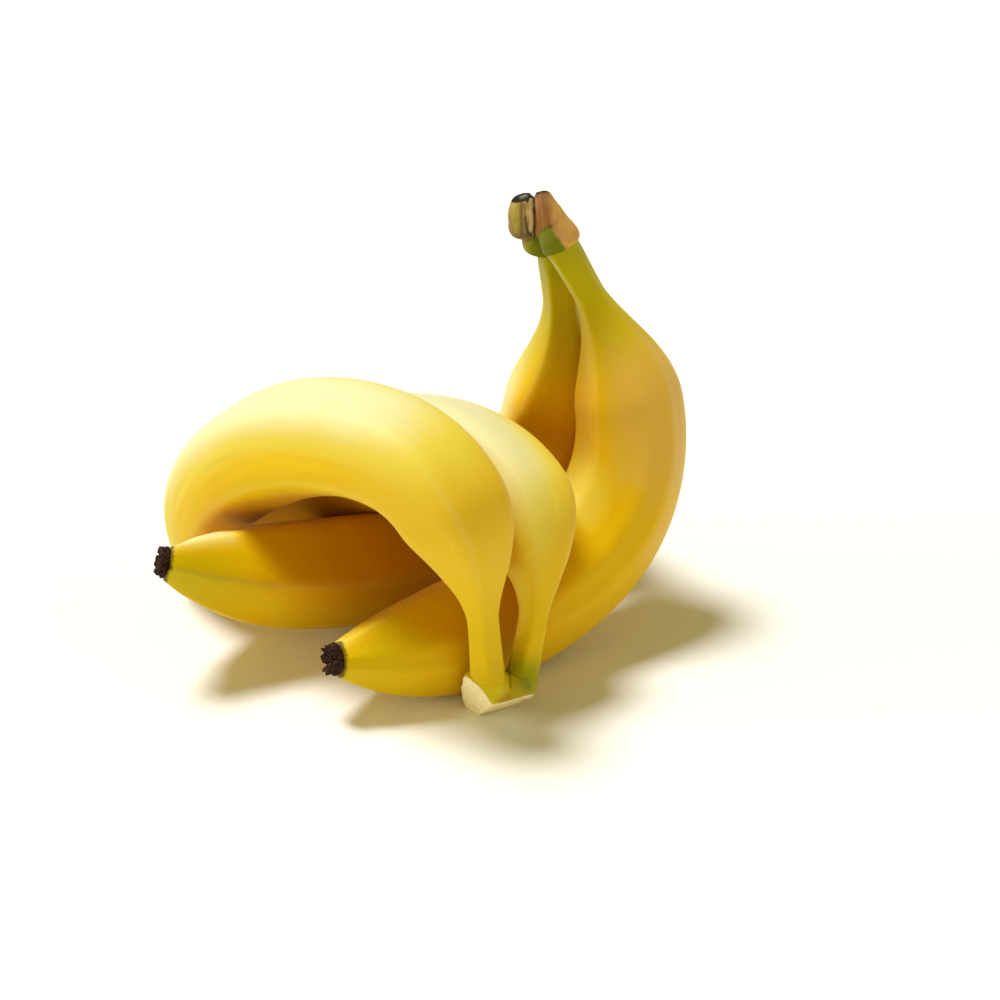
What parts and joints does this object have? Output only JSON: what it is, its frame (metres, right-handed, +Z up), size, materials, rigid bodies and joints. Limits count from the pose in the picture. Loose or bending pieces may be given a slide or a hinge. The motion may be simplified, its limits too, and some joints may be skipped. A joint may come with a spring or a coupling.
{
  "type": "bunch of bananas",
  "caption": "Ripe bananas lying together as one group: a joined pair arches over another joined pair that rests on the surface.",
  "frame": {"origin": "on the surface that the bunch lies on, under the middle of its bounding box", "axes": "+Z up from the surface; +X to the right as the picture shows the bunch, from the tips towards the crowns; -Y towards the camera"},
  "size_m": [0.1689, 0.1313, 0.143],
  "materials": {
    "skin": "satin, waxy ripe peel",
    "fresh_crown": "satin, green-yellow with pale cut faces",
    "dried_crown": "dry, fibrous, matt",
    "dried_flower": "dry, rough, matt"
  },
  "bodies": {
    "root": {"banana_front_near": "skin", "banana_front_far": "skin", "banana_rear_right": "skin", "banana_rear_left": "skin", "crown_front": "fresh_crown", "crown_rear": "dried_crown", "blossom_end_front_near": "dried_flower", "blossom_end_front_far": "dried_flower", "blossom_end_rear_right": "dried_flower", "blossom_end_rear_left": "dried_flower"}
  },
  "joints": []
}
